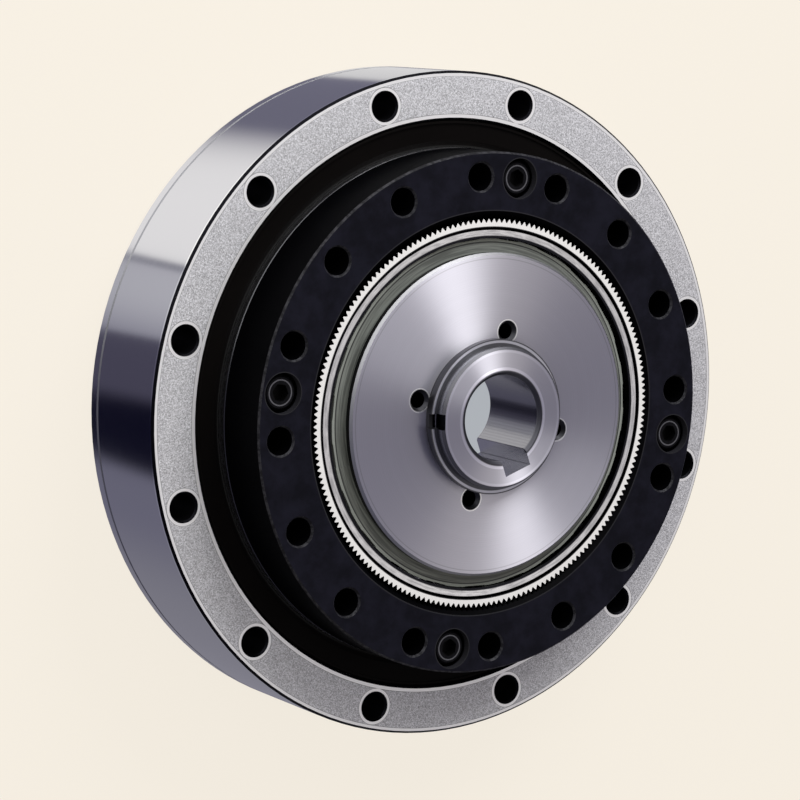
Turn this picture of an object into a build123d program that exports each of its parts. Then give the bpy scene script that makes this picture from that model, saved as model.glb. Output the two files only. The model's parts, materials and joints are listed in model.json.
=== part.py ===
from build123d import *
import os
from math import cos, degrees, pi, radians, sin, tan

# Strain wave gear unit: a cross roller bearing, a top-hat flexspline, a circular spline
# and a wave generator whose hub takes the input shaft.
# Sizes are in millimetres and angles in degrees. Z is the axis, and the input hub looks
# along +Z. The origin is on the axis, on the rear face of the flexspline's flange.

os.makedirs("parts", exist_ok=True)

# Teeth
tooth_module = 0.3175
flexspline_teeth = 200
tooth_difference = 2
pressure_angle = 30.0
tooth_addendum = 0.254
tooth_dedendum = 0.35
flank_clearance = 0.03
root_rounding = 0.06
mouth_edge_break = 0.6

# Bolt circles
housing_bolt_count = 12
housing_bolt_hole = 4.5
output_bolt_count = 16
output_bolt_hole = 4.5
output_bolt_angle = 10.38
output_tap_drill = 3.3
output_tap_depth = 7.0
bolt_land = 6.75
bolt_wall = 1.75
hole_edge_break = 0.3

# Lengths along the axis
flange_thickness = 2.4
outer_ring_width = 18.6
spline_stand_off = 0.74
circular_spline_width = 10.6
disc_stand_off = 0.95
hub_stand_off = 3.9

# Cross roller bearing
roller_diameter = 5.0
roller_length = 4.75
roller_count = 44
roller_clearance = 0.06
roller_edge_break = 0.3
roller_tilt = 45.0
race_shoulder = 0.5
raceway_height = 8.1
inner_ring_rear_gap = 1.6
inner_ring_bore_gap = 1.2
spacer_thickness = 0.7
spacer_diameter = 4.6
spacer_hole = 1.6
loading_plug_diameter = 6.0
loading_plug_angle = 285.0
loading_plug_set_in = 0.1
loading_pin_diameter = 2.0
loading_pin_length = 10.0

# Seals and fits
seal_width = 4.5
seal_depth = 3.4
seal_set_in = 0.34
seal_rim_width = 0.54
seal_face_set_in = 0.26
seal_face_slope = 0.2
seal_lip_gap = 1.1
seal_lip_thickness = 0.35
seal_lip_drop = 0.47
running_clearance = 0.05
seat_clearance = 0.02
ring_edge_break = 0.4
rear_edge_break = 0.3
o_ring_width = 1.2
o_ring_depth = 0.75
o_ring_wall = 0.9

# Flexspline
rim_thickness = 0.73
rim_set_in = 0.25
tooth_length = 10.0
cup_wall = 0.45
cup_straight_height = 7.0
diaphragm_thickness = 0.6
diaphragm_set_in = 0.9
corner_radius = 1.8
flange_land = 10.5
flange_slope = 1.2

# Small screws
screw_diameter = 3.0
screw_head_diameter = 5.5
screw_head_height = 3.0
screw_head_set_in = 0.9
screw_socket = 2.5
screw_socket_depth = 1.5
screw_length = 12.0
screw_bore_clearance = 0.2
counterbore_clearance = 0.5
countersink_clearance = 0.1
spline_screw_count = 4
spline_screw_pitches = 2.5
flange_screw_count = 6
flange_screw_length = 8.0
flange_screw_socket = 2.0
flange_screw_socket_depth = 1.2

# Wave bearing
bearing_width = 8.5
bearing_set_in = 0.45
outer_race_thickness = 1.72
inner_race_thickness = 1.7
ball_diameter = 5.3
ball_count = 23
ball_angle = 3.2
ball_groove_depth = 0.4
race_edge_break = 0.35
retainer_clearance = 0.1
retainer_set_in = 0.7
retainer_bar_depth = 1.3
retainer_notch_width = 3.9
retainer_notch_depth = 0.15

# Wave generator
major_axis_angle = 165.15
disc_inset = 0.25
disc_chamfer = 0.4
disc_hole_land = 2.35
disc_hole_count = 4
disc_hole_diameter = 2.5
disc_hole_countersink = 3.6
disc_hole_angle = 61.75
hub_diameter = 23.0
hub_edge_break = 0.4
input_bore = 14.0
input_bore_chamfer = 0.5
keyway_width = 5.0
keyway_depth = 2.3
keyway_angle = 275.25
hub_slot_width = 2.36
hub_slot_depth = 0.46
hub_float = 0.4
hub_flange_wall = 5.4
hub_flange_thickness = 2.4
coupling_set_in = 0.6
insert_thickness = 2.9
insert_gap = 0.2
insert_wall = 5.0
insert_tab_reach = 2.2
lug_width = 4.8
lug_height = 2.0
coupling_clearance = 0.1
washer_thickness = 0.88
washer_overhang = 0.7
snap_ring_thickness = 1.1
snap_ring_overhang = 1.1
snap_ring_groove = 0.6
snap_ring_gap = 2.4

# Radii that follow from the teeth, from the inside outwards
circular_spline_teeth = flexspline_teeth + tooth_difference
flexspline_pitch_radius = tooth_module * flexspline_teeth / 2
circular_pitch_radius = tooth_module * circular_spline_teeth / 2
wave_height = circular_pitch_radius - flexspline_pitch_radius
flexspline_root_radius = flexspline_pitch_radius - tooth_dedendum
flexspline_bore_radius = flexspline_root_radius - rim_thickness
cup_radius = flexspline_bore_radius + cup_wall
circular_tip_radius = circular_pitch_radius - tooth_addendum
circular_root_radius = circular_pitch_radius + tooth_dedendum
output_bolt_radius = flexspline_pitch_radius + bolt_land
circular_spline_radius = output_bolt_radius + output_bolt_hole / 2 + bolt_wall
roller_circle_radius = circular_spline_radius
seal_pocket_radius = circular_spline_radius + seal_width
housing_bolt_radius = seal_pocket_radius + bolt_wall + housing_bolt_hole / 2
unit_radius = housing_bolt_radius + housing_bolt_hole / 2 + bolt_wall
outer_shoulder_radius = roller_circle_radius + race_shoulder
inner_shoulder_radius = roller_circle_radius - race_shoulder
inner_ring_bore_radius = circular_root_radius + inner_ring_bore_gap

# Heights that follow
ring_rear = flange_thickness
ring_front = ring_rear + outer_ring_width
spline_rear = ring_front + spline_stand_off
spline_front = spline_rear + circular_spline_width
disc_front = spline_front + disc_stand_off
hub_front = disc_front + hub_stand_off
raceway_z = ring_rear + raceway_height
inner_ring_rear = ring_rear + inner_ring_rear_gap
seal_pocket_floor = ring_front - seal_depth
collar_rear = seal_pocket_floor + running_clearance

# Cross roller section, which both rings and the loading plug share
groove_side = roller_diameter + 2 * roller_clearance
roller_step = 360 / roller_count

# Wave bearing radii, from the flexspline's bore inwards
outer_race_radius = flexspline_bore_radius - running_clearance
outer_race_bore_radius = outer_race_radius - outer_race_thickness
ball_groove_radius = ball_diameter / 2 + running_clearance
ball_circle_radius = outer_race_bore_radius + ball_groove_depth - ball_groove_radius
inner_race_radius = ball_circle_radius - ball_groove_radius + ball_groove_depth
inner_race_bore_radius = inner_race_radius - inner_race_thickness
plug_seat_radius = inner_race_bore_radius - seat_clearance
bearing_front = spline_front - bearing_set_in
bearing_rear = bearing_front - bearing_width
ball_z = (bearing_front + bearing_rear) / 2
disc_radius = ball_circle_radius - disc_inset
disc_rear = bearing_front + running_clearance

# Small screw radii
screw_bore_radius = (screw_diameter + screw_bore_clearance) / 2
counterbore_radius = screw_head_diameter / 2 + counterbore_clearance
counterbore_floor = spline_front - screw_head_set_in - screw_head_height
spline_screw_angle = output_bolt_angle + spline_screw_pitches * 360 / output_bolt_count
screw_tip_z = counterbore_floor - screw_length
flange_screw_angle = 180 / housing_bolt_count
loading_plug_place = Location((0, 0, raceway_z), (0, 0, loading_plug_angle)) * Location((0, 0, 0), (0, 90, 0))
countersink_radius = screw_head_diameter / 2 + countersink_clearance
countersink_depth = countersink_radius - screw_diameter / 2


def tooth_half_width(height):
    """Half the width of a tooth at a height above its own pitch circle, towards its tip."""
    return pi * tooth_module / 4 - flank_clearance - height * tan(radians(pressure_angle))


def polar_point(radius, angle):
    """A point in the plane from a radius and an angle in degrees."""
    return (radius * cos(radians(angle)), radius * sin(radians(angle)))


def flexspline_outline():
    """Outline of the external teeth, bent to the wave generator's oval."""
    flank_foot = root_rounding - tooth_dedendum
    points = []
    for tooth in range(flexspline_teeth):
        for height, offset in (
            (flank_foot, -tooth_half_width(flank_foot)),
            (tooth_addendum, -tooth_half_width(tooth_addendum)),
            (tooth_addendum, tooth_half_width(tooth_addendum)),
            (flank_foot, tooth_half_width(flank_foot)),
            (-tooth_dedendum, pi * tooth_module / 2),
        ):
            turn = 360 * tooth / flexspline_teeth + degrees(offset / flexspline_pitch_radius)
            swing = wave_height / (2 * flexspline_pitch_radius) * sin(radians(2 * turn))
            radius = flexspline_pitch_radius + height + wave_height * cos(radians(2 * turn))
            points.append(polar_point(radius, major_axis_angle + turn - degrees(swing)))
    return points


def circular_spline_outline():
    """Outline of the opening inside the internal teeth, with a space on the major axis."""
    points = []
    for tooth in range(circular_spline_teeth):
        for height, side in (
            (-tooth_dedendum, -1),
            (tooth_addendum, -1),
            (tooth_addendum, 1),
            (-tooth_dedendum, 1),
        ):
            radius = circular_pitch_radius - height
            turn = 360 * (tooth + 0.5) / circular_spline_teeth
            turn += side * degrees(tooth_half_width(height) / circular_pitch_radius)
            points.append(polar_point(radius, major_axis_angle + turn))
    return points


def circles_at(shape, radius):
    """The circular edges of one radius, lowest first."""
    found = shape.edges().filter_by(GeomType.CIRCLE)
    return found.filter_by(lambda edge: abs(edge.radius - radius) < 0.001).sort_by(Axis.Z)


# Outer bearing ring, bolted to the machine through its ring of holes
with BuildPart() as outer_bearing_ring:
    with BuildSketch(Plane.XZ):
        with BuildLine():
            Polyline(
                (seal_pocket_radius, ring_front),
                (unit_radius, ring_front),
                (unit_radius, ring_rear),
                (outer_shoulder_radius, ring_rear),
                (outer_shoulder_radius, seal_pocket_floor),
                (seal_pocket_radius, seal_pocket_floor),
                close=True,
            )
        make_face()
    revolve(axis=Axis.Z)
    chamfer(circles_at(outer_bearing_ring, unit_radius)[-1], ring_edge_break)
    chamfer(circles_at(outer_bearing_ring, unit_radius)[0], rear_edge_break)
    chamfer(circles_at(outer_bearing_ring, seal_pocket_radius)[-1], ring_edge_break)
    chamfer(circles_at(outer_bearing_ring, outer_shoulder_radius)[0], rear_edge_break)
    with BuildSketch(Plane.XZ):
        with Locations((roller_circle_radius, raceway_z)):
            Rectangle(groove_side, groove_side, rotation=roller_tilt)
    revolve(axis=Axis.Z, mode=Mode.SUBTRACT)
    with BuildSketch(Plane.XY.offset(ring_rear)):
        Circle(seal_pocket_radius + seat_clearance)
        Circle(seal_pocket_radius - o_ring_width, mode=Mode.SUBTRACT)
    extrude(amount=o_ring_depth, mode=Mode.SUBTRACT)
    with Locations((0, 0, ring_front)):
        with PolarLocations(housing_bolt_radius, housing_bolt_count):
            CounterSinkHole(housing_bolt_hole / 2, housing_bolt_hole / 2 + hole_edge_break)
    with BuildSketch(Plane.XY.offset(ring_rear)):
        with PolarLocations(housing_bolt_radius, flange_screw_count, start_angle=flange_screw_angle):
            Circle(screw_diameter / 2 + seat_clearance)
    extrude(amount=flange_screw_length - flange_thickness, mode=Mode.SUBTRACT)
    with Locations(loading_plug_place):
        Cylinder(
            loading_plug_diameter / 2 + seat_clearance,
            unit_radius,
            align=(Align.CENTER, Align.CENTER, Align.MIN),
            mode=Mode.SUBTRACT,
        )
    with BuildSketch(Plane.XY.offset(ring_rear)):
        with PolarLocations(housing_bolt_radius, 1, start_angle=loading_plug_angle):
            Circle(loading_pin_diameter / 2 + seat_clearance)
    extrude(amount=loading_pin_length, mode=Mode.SUBTRACT)
outer_bearing_ring.part.label = "outer_bearing_ring"
export_step(outer_bearing_ring.part, "parts/outer_bearing_ring.step")

# Plug that closes the hole through which the rollers are loaded
with BuildPart() as roller_loading_plug:
    with Locations(loading_plug_place):
        Cylinder(
            loading_plug_diameter / 2,
            unit_radius - loading_plug_set_in,
            align=(Align.CENTER, Align.CENTER, Align.MIN),
        )
    Cylinder(outer_shoulder_radius, 4 * unit_radius, mode=Mode.SUBTRACT)
    with BuildSketch(Plane.XZ):
        with Locations((roller_circle_radius, raceway_z)):
            Rectangle(groove_side, groove_side, rotation=roller_tilt)
    revolve(axis=Axis.Z, mode=Mode.SUBTRACT)
    with BuildSketch(Plane.XY):
        with PolarLocations(housing_bolt_radius, 1, start_angle=loading_plug_angle):
            Circle(loading_pin_diameter / 2 + seat_clearance)
    extrude(amount=ring_front, mode=Mode.SUBTRACT)
roller_loading_plug.part.label = "roller_loading_plug"
export_step(roller_loading_plug.part, "parts/roller_loading_plug.step")

# Pin that locks the loading plug
with BuildPart() as loading_plug_pin:
    with BuildSketch(Plane.XY.offset(ring_rear + seat_clearance)):
        with PolarLocations(housing_bolt_radius, 1, start_angle=loading_plug_angle):
            Circle(loading_pin_diameter / 2)
    extrude(amount=loading_pin_length - 2 * seat_clearance)
loading_plug_pin.part.label = "loading_plug_pin"
export_step(loading_plug_pin.part, "parts/loading_plug_pin.step")

# Inner bearing ring, which turns with the circular spline
with BuildPart() as inner_bearing_ring:
    with BuildSketch(Plane.XZ):
        with BuildLine():
            Polyline(
                (inner_ring_bore_radius, spline_rear),
                (circular_spline_radius, spline_rear),
                (circular_spline_radius, collar_rear),
                (inner_shoulder_radius, collar_rear),
                (inner_shoulder_radius, inner_ring_rear),
                (inner_ring_bore_radius, inner_ring_rear),
                close=True,
            )
        make_face()
        with Locations((roller_circle_radius, raceway_z)):
            Rectangle(groove_side, groove_side, rotation=roller_tilt, mode=Mode.SUBTRACT)
    revolve(axis=Axis.Z)
    chamfer(circles_at(inner_bearing_ring, circular_spline_radius)[-1], rear_edge_break)
    chamfer(circles_at(inner_bearing_ring, inner_ring_bore_radius)[0], rear_edge_break)
    with BuildSketch(Plane.XY.offset(spline_rear)):
        Circle(inner_ring_bore_radius + o_ring_wall + o_ring_width)
        Circle(inner_ring_bore_radius + o_ring_wall, mode=Mode.SUBTRACT)
    extrude(amount=-o_ring_depth, mode=Mode.SUBTRACT)
    with Locations((0, 0, spline_rear)):
        with PolarLocations(output_bolt_radius, output_bolt_count, start_angle=output_bolt_angle):
            Hole(output_tap_drill / 2, depth=output_tap_depth)
        with PolarLocations(output_bolt_radius, spline_screw_count, start_angle=spline_screw_angle):
            Hole(screw_diameter / 2 + seat_clearance, depth=spline_rear - screw_tip_z + seat_clearance)
inner_bearing_ring.part.label = "inner_bearing_ring"
export_step(inner_bearing_ring.part, "parts/inner_bearing_ring.step")


def roller_planes(first, tilt):
    """Planes of every second roller from the first one, with Z along the roller's own axis."""
    planes = []
    for index in range(first, roller_count, 2):
        angle = index * roller_step
        x, y = polar_point(roller_circle_radius, angle)
        outward = polar_point(cos(radians(tilt)), angle)
        along = (outward[0], outward[1], sin(radians(tilt)))
        planes.append(Plane((x, y, raceway_z), x_dir=(-y, x, 0), z_dir=along))
    return planes


# Rollers, alternately crossed, so that the two sets carry thrust in opposite directions
with BuildPart() as front_thrust_rollers:
    with Locations(*roller_planes(0, roller_tilt)):
        Cylinder(roller_diameter / 2, roller_length)
    chamfer(front_thrust_rollers.edges().filter_by(GeomType.CIRCLE), roller_edge_break)
front_thrust_rollers.part.label = "front_thrust_rollers"
export_step(front_thrust_rollers.part, "parts/front_thrust_rollers.step")

with BuildPart() as rear_thrust_rollers:
    with Locations(*roller_planes(1, -roller_tilt)):
        Cylinder(roller_diameter / 2, roller_length)
    chamfer(rear_thrust_rollers.edges().filter_by(GeomType.CIRCLE), roller_edge_break)
rear_thrust_rollers.part.label = "rear_thrust_rollers"
export_step(rear_thrust_rollers.part, "parts/rear_thrust_rollers.step")

# Plastic spacers between the rollers
with BuildPart() as roller_spacers:
    with Locations((0, 0, raceway_z)):
        with PolarLocations(roller_circle_radius, roller_count, start_angle=roller_step / 2):
            Cylinder(spacer_diameter / 2, spacer_thickness, rotation=(90, 0, 0))
            Cylinder(spacer_hole / 2, 2 * spacer_thickness, rotation=(90, 0, 0), mode=Mode.SUBTRACT)
roller_spacers.part.label = "roller_spacers"
export_step(roller_spacers.part, "parts/roller_spacers.step")

# Rubber lip seal in the front of the outer ring
seal_front = ring_front - seal_set_in
seal_face = seal_front - seal_face_set_in
seal_inner_radius = circular_spline_radius + seal_lip_gap
lip_radius = circular_spline_radius + running_clearance
lip_front = seal_face - seal_face_slope - seal_lip_drop
with BuildPart() as front_seal:
    with BuildSketch(Plane.XZ):
        with BuildLine():
            Polyline(
                (seal_pocket_radius - seat_clearance, seal_front - seal_rim_width / 2),
                (seal_pocket_radius - seal_rim_width / 2, seal_front),
                (seal_pocket_radius - seal_rim_width, seal_front),
                (seal_pocket_radius - seal_rim_width, seal_face),
                (seal_inner_radius, seal_face - seal_face_slope),
                (lip_radius, lip_front),
                (lip_radius, lip_front - seal_lip_thickness),
                (seal_inner_radius, seal_face - seal_face_slope - seal_rim_width),
                (seal_inner_radius, seal_pocket_floor + seat_clearance),
                (seal_pocket_radius - seat_clearance, seal_pocket_floor + seat_clearance),
                close=True,
            )
        make_face()
    revolve(axis=Axis.Z)
front_seal.part.label = "front_seal"
export_step(front_seal.part, "parts/front_seal.step")

# Ring in the joint between the outer ring and the flexspline's flange
with BuildPart() as flange_o_ring:
    with BuildSketch(Plane.XY.offset(ring_rear + seat_clearance)):
        Circle(seal_pocket_radius - seat_clearance)
        Circle(seal_pocket_radius - o_ring_width + seat_clearance, mode=Mode.SUBTRACT)
    extrude(amount=o_ring_depth - 2 * seat_clearance)
    fillet(flange_o_ring.edges().filter_by(GeomType.CIRCLE), o_ring_depth / 4)
flange_o_ring.part.label = "flange_o_ring"
export_step(flange_o_ring.part, "parts/flange_o_ring.step")

# Ring in the joint between the circular spline and the inner ring
with BuildPart() as spline_o_ring:
    with BuildSketch(Plane.XY.offset(spline_rear - o_ring_depth + seat_clearance)):
        Circle(inner_ring_bore_radius + o_ring_wall + o_ring_width - seat_clearance)
        Circle(inner_ring_bore_radius + o_ring_wall + seat_clearance, mode=Mode.SUBTRACT)
    extrude(amount=o_ring_depth - 2 * seat_clearance)
    fillet(spline_o_ring.edges().filter_by(GeomType.CIRCLE), o_ring_depth / 4)
spline_o_ring.part.label = "spline_o_ring"
export_step(spline_o_ring.part, "parts/spline_o_ring.step")

# Flexspline: a thin toothed cup whose rear turns outwards into the bolted flange
rim_front = spline_front - rim_set_in
teeth_rear = rim_front - tooth_length
diaphragm_front = diaphragm_set_in + diaphragm_thickness
flange_radius = unit_radius - flange_land
with BuildPart() as flexspline:
    with BuildSketch(Plane.XZ):
        with BuildLine():
            Polyline(
                (flexspline_bore_radius, cup_straight_height),
                (cup_radius, cup_straight_height),
                (cup_radius, diaphragm_front),
                (flange_radius - flange_slope, diaphragm_front),
                (flange_radius, flange_thickness),
                (unit_radius, flange_thickness),
                (unit_radius, 0),
                (flange_radius, 0),
                (flange_radius - flange_slope, diaphragm_set_in),
                (flexspline_bore_radius, diaphragm_set_in),
                close=True,
            )
        make_face()
    revolve(axis=Axis.Z)
    fillet(circles_at(flexspline, cup_radius)[0], corner_radius)
    fillet(circles_at(flexspline, flexspline_bore_radius)[0], corner_radius + cup_wall)
    chamfer(circles_at(flexspline, unit_radius), rear_edge_break)
    with BuildSketch(Plane.XY.offset(cup_straight_height)):
        Circle(cup_radius)
    with BuildSketch(Plane.XY.offset(teeth_rear)):
        Ellipse(cup_radius + wave_height, cup_radius - wave_height, rotation=major_axis_angle)
    loft()
    with BuildSketch(Plane.XY.offset(cup_straight_height)):
        Circle(flexspline_bore_radius)
    with BuildSketch(Plane.XY.offset(teeth_rear)):
        Ellipse(
            flexspline_bore_radius + wave_height,
            flexspline_bore_radius - wave_height,
            rotation=major_axis_angle,
        )
    loft(mode=Mode.SUBTRACT)
    with BuildSketch(Plane.XY):
        with PolarLocations(housing_bolt_radius, housing_bolt_count):
            Circle(housing_bolt_hole / 2)
        with PolarLocations(housing_bolt_radius, flange_screw_count, start_angle=flange_screw_angle):
            Circle(screw_bore_radius)
    extrude(amount=flange_thickness, mode=Mode.SUBTRACT)
    with PolarLocations(housing_bolt_radius, flange_screw_count, start_angle=flange_screw_angle):
        Cone(
            countersink_radius,
            screw_diameter / 2,
            countersink_depth,
            align=(Align.CENTER, Align.CENTER, Align.MIN),
            mode=Mode.SUBTRACT,
        )
    with BuildSketch(Plane.XY.offset(teeth_rear)):
        with BuildLine():
            Polyline(*flexspline_outline(), close=True)
        make_face()
        Ellipse(
            flexspline_bore_radius + wave_height,
            flexspline_bore_radius - wave_height,
            rotation=major_axis_angle,
            mode=Mode.SUBTRACT,
        )
    extrude(amount=tooth_length)
flexspline.part.label = "flexspline"
export_step(flexspline.part, "parts/flexspline.step")

# Countersunk screws that hold the flange to the outer ring
with BuildPart() as flange_screws:
    with Locations((0, 0, 2 * seat_clearance)):
        with PolarLocations(housing_bolt_radius, flange_screw_count, start_angle=flange_screw_angle):
            Cone(
                screw_head_diameter / 2,
                screw_diameter / 2,
                (screw_head_diameter - screw_diameter) / 2,
                align=(Align.CENTER, Align.CENTER, Align.MIN),
            )
            Cylinder(
                screw_diameter / 2,
                flange_screw_length - 4 * seat_clearance,
                align=(Align.CENTER, Align.CENTER, Align.MIN),
            )
    with BuildSketch(Plane.XY):
        with PolarLocations(housing_bolt_radius, flange_screw_count, start_angle=flange_screw_angle):
            RegularPolygon(flange_screw_socket / 2, 6, major_radius=False)
    extrude(amount=flange_screw_socket_depth, mode=Mode.SUBTRACT)
flange_screws.part.label = "flange_screws"
export_step(flange_screws.part, "parts/flange_screws.step")

# Circular spline: the output ring with the internal teeth
mouth_radius = circular_root_radius + mouth_edge_break
mouth_depth = mouth_radius - circular_tip_radius
with BuildPart() as circular_spline:
    with BuildSketch(Plane.XZ):
        with BuildLine():
            Polyline(
                (mouth_radius, spline_front),
                (circular_spline_radius, spline_front),
                (circular_spline_radius, spline_rear),
                (mouth_radius, spline_rear),
                (circular_tip_radius, spline_rear + mouth_depth),
                (circular_tip_radius, spline_front - mouth_depth),
                close=True,
            )
        make_face()
    revolve(axis=Axis.Z)
    chamfer(circles_at(circular_spline, circular_spline_radius)[-1], hole_edge_break)
    with Locations((0, 0, spline_front)):
        with PolarLocations(output_bolt_radius, output_bolt_count, start_angle=output_bolt_angle):
            CounterSinkHole(output_bolt_hole / 2, output_bolt_hole / 2 + hole_edge_break)
        with PolarLocations(output_bolt_radius, spline_screw_count, start_angle=spline_screw_angle):
            CounterBoreHole(screw_bore_radius, counterbore_radius, spline_front - counterbore_floor)
    with BuildSketch(Plane.XY.offset(spline_rear)):
        with BuildLine():
            Polyline(*circular_spline_outline(), close=True)
        make_face()
    extrude(amount=circular_spline_width, mode=Mode.SUBTRACT)
circular_spline.part.label = "circular_spline"
export_step(circular_spline.part, "parts/circular_spline.step")

# Socket head screws that hold the circular spline to the inner ring
with BuildPart() as circular_spline_screws:
    with Locations((0, 0, counterbore_floor)):
        with PolarLocations(output_bolt_radius, spline_screw_count, start_angle=spline_screw_angle):
            Cylinder(
                screw_head_diameter / 2,
                screw_head_height,
                align=(Align.CENTER, Align.CENTER, Align.MIN),
            )
    chamfer(circular_spline_screws.edges().group_by(Axis.Z)[-1], hole_edge_break)
    with Locations((0, 0, counterbore_floor)):
        with PolarLocations(output_bolt_radius, spline_screw_count, start_angle=spline_screw_angle):
            Cylinder(
                screw_diameter / 2,
                screw_length,
                align=(Align.CENTER, Align.CENTER, Align.MAX),
            )
    with BuildSketch(Plane.XY.offset(counterbore_floor + screw_head_height)):
        with PolarLocations(output_bolt_radius, spline_screw_count, start_angle=spline_screw_angle):
            RegularPolygon(screw_socket / 2, 6, major_radius=False)
    extrude(amount=-screw_socket_depth, mode=Mode.SUBTRACT)
circular_spline_screws.part.label = "circular_spline_screws"
export_step(circular_spline_screws.part, "parts/circular_spline_screws.step")

# Outer race of the wave bearing, bent oval inside the flexspline
with BuildPart() as wave_bearing_outer_race:
    with BuildSketch(Plane.XY.offset(bearing_rear)):
        Ellipse(outer_race_radius + wave_height, outer_race_radius - wave_height, rotation=major_axis_angle)
    extrude(amount=bearing_width)
    chamfer(wave_bearing_outer_race.faces().filter_by(Axis.Z).edges(), race_edge_break)
    with BuildSketch(Plane.XY.offset(bearing_rear)):
        Ellipse(
            outer_race_bore_radius + wave_height,
            outer_race_bore_radius - wave_height,
            rotation=major_axis_angle,
        )
    extrude(amount=bearing_width, mode=Mode.SUBTRACT)
    with BuildSketch(Plane.XZ):
        with Locations((ball_circle_radius, ball_z)):
            Circle(ball_groove_radius)
    revolve(axis=Axis.Z, mode=Mode.SUBTRACT)
wave_bearing_outer_race.part.label = "wave_bearing_outer_race"
export_step(wave_bearing_outer_race.part, "parts/wave_bearing_outer_race.step")

# Inner race of the wave bearing, fixed on the plug's oval seat
with BuildPart() as wave_bearing_inner_race:
    with BuildSketch(Plane.XY.offset(bearing_rear)):
        Ellipse(inner_race_radius + wave_height, inner_race_radius - wave_height, rotation=major_axis_angle)
        Ellipse(
            inner_race_bore_radius + wave_height,
            inner_race_bore_radius - wave_height,
            rotation=major_axis_angle,
            mode=Mode.SUBTRACT,
        )
    extrude(amount=bearing_width)
    with BuildSketch(Plane.XZ):
        with Locations((ball_circle_radius, ball_z)):
            Circle(ball_groove_radius)
    revolve(axis=Axis.Z, mode=Mode.SUBTRACT)
wave_bearing_inner_race.part.label = "wave_bearing_inner_race"
export_step(wave_bearing_inner_race.part, "parts/wave_bearing_inner_race.step")

# Balls of the wave bearing
with BuildPart() as wave_bearing_balls:
    with Locations((0, 0, ball_z)):
        with PolarLocations(ball_circle_radius, ball_count, start_angle=ball_angle):
            Sphere(ball_diameter / 2)
wave_bearing_balls.part.label = "wave_bearing_balls"
export_step(wave_bearing_balls.part, "parts/wave_bearing_balls.step")

# Plastic retainer that keeps the balls apart, open towards the rear
retainer_outer_radius = outer_race_bore_radius - wave_height - retainer_clearance
retainer_inner_radius = inner_race_radius + wave_height + retainer_clearance
retainer_front = bearing_front - retainer_set_in
retainer_rear = ball_z - retainer_bar_depth
with BuildPart() as ball_retainer:
    with BuildSketch(Plane.XY.offset(retainer_rear)):
        Circle(retainer_outer_radius)
        Circle(retainer_inner_radius, mode=Mode.SUBTRACT)
        with PolarLocations(retainer_outer_radius, ball_count, start_angle=ball_angle):
            Rectangle(2 * retainer_notch_depth, retainer_notch_width, mode=Mode.SUBTRACT)
    extrude(amount=retainer_front - retainer_rear)
    with Locations((0, 0, ball_z)):
        with PolarLocations(ball_circle_radius, ball_count, start_angle=ball_angle):
            Cylinder(
                ball_diameter / 2 + retainer_clearance,
                ball_diameter,
                rotation=(0, 90, 0),
                mode=Mode.SUBTRACT,
            )
ball_retainer.part.label = "ball_retainer"
export_step(ball_retainer.part, "parts/ball_retainer.step")

# Hub and coupling sizes, shared by the plug, the insert and the hub
hub_radius = hub_diameter / 2
disc_hole_radius = hub_radius + disc_hole_land
coupling_rear = bearing_rear - coupling_set_in
hub_flange_front = coupling_rear + hub_flange_thickness
insert_rear = hub_flange_front + insert_gap
insert_front = insert_rear + insert_thickness
insert_bore_radius = hub_radius + hub_float + running_clearance
insert_radius = insert_bore_radius + insert_wall
hub_flange_radius = hub_radius + hub_flange_wall
pocket_radius = insert_radius + hub_float
pocket_floor = insert_front + coupling_clearance
tab_reach = insert_radius + insert_tab_reach

# Wave generator plug: the oval cam and the round disc in front of it
with BuildPart() as wave_generator_plug:
    with BuildSketch(Plane.XY.offset(disc_rear)):
        Circle(disc_radius)
    extrude(amount=disc_front - disc_rear)
    chamfer(circles_at(wave_generator_plug, disc_radius)[-1], disc_chamfer)
    with BuildSketch(Plane.XY.offset(bearing_rear)):
        Ellipse(plug_seat_radius + wave_height, plug_seat_radius - wave_height, rotation=major_axis_angle)
    extrude(amount=disc_rear - bearing_rear)
    with BuildSketch(Plane.XY.offset(bearing_rear)):
        Circle(pocket_radius)
        with PolarLocations(tab_reach / 2, 2, start_angle=major_axis_angle):
            Rectangle(tab_reach + hub_float, lug_width + coupling_clearance)
    extrude(amount=pocket_floor - bearing_rear, mode=Mode.SUBTRACT)
    with Locations((0, 0, disc_front)):
        Hole(hub_radius + hub_float)
        with PolarLocations(disc_hole_radius, disc_hole_count, start_angle=disc_hole_angle):
            CounterSinkHole(disc_hole_diameter / 2, disc_hole_countersink / 2)
wave_generator_plug.part.label = "wave_generator_plug"
export_step(wave_generator_plug.part, "parts/wave_generator_plug.step")

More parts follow.
